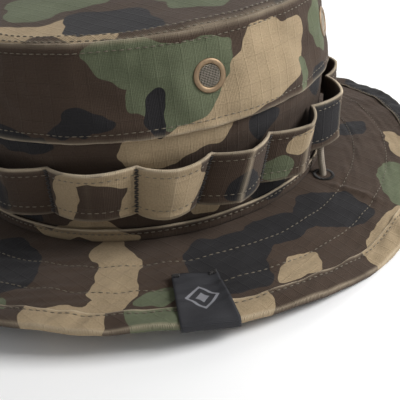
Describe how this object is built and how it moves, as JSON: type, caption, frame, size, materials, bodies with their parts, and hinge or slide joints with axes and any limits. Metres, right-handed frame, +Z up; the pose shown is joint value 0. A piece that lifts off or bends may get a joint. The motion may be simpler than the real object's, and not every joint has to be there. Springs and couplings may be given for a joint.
{
  "type": "boonie hat",
  "caption": "Soft wide-brimmed camouflage field hat with a looped foliage band, screened vents, stitched brim and a chin cord with a sprung cord lock.",
  "frame": {"origin": "on the floor under the middle of the hat, which lies on its brim", "axes": "+Z up, -Y towards the hat's front, +X towards the wearer's left"},
  "size_m": [0.3006, 0.3046, 0.1088],
  "materials": {
    "camo_cloth": "woodland camouflage cotton ripstop, matte",
    "interlining": "stiff woven interlining, matte",
    "tape_cloth": "olive herringbone tape, matte",
    "thread": "dark sewing thread, slightly glossy",
    "vent_brass": "aged antique brass, satin",
    "vent_wire": "fine woven wire, dull",
    "label_weave": "black woven satin label",
    "care_weave": "white woven tape",
    "cord_braid": "round braided cord, matte",
    "lock_plastic": "moulded plastic, lightly textured",
    "spring_steel": "drawn wire, bright"
  },
  "bodies": {
    "root": {"crown_top": "camo_cloth", "crown_upper_wall": "camo_cloth", "crown_lower_wall": "camo_cloth", "hem_lip": "camo_cloth", "sweatband": "tape_cloth", "top_seam_tape": "tape_cloth", "side_seam_tapes": "tape_cloth", "brim_top_cloth": "camo_cloth", "brim_stiffener": "interlining", "brim_under_cloth": "camo_cloth", "brim_binding": "camo_cloth", "brim_cord_eyelets": "thread", "foliage_band": "camo_cloth", "band_bartacks": "thread", "vent_eyelets": "vent_brass", "vent_meshes": "vent_wire", "vent_washers": "vent_brass", "edge_label": "label_weave", "label_tacks": "thread", "care_label": "care_weave", "chin_cord": "cord_braid", "cord_end_tacks": "thread"},
    "cord_lock": {"cord_lock_barrel": "lock_plastic", "cord_lock_spring": "spring_steel"},
    "lock_button": {"cord_lock_button": "lock_plastic"}
  },
  "joints": [
    {"name": "lock_slide", "type": "slide", "parent": "root", "child": "cord_lock", "axis": [0, 1, 0], "range_m": [-0.015, 0.015]},
    {"name": "button_press", "type": "slide", "parent": "cord_lock", "child": "lock_button", "axis": [-1, 0, 0], "range_m": [0, 0.004], "stiffness_N_per_m": 150, "springref_m": -0.003, "deforming": ["cord_lock_spring"]}
  ]
}
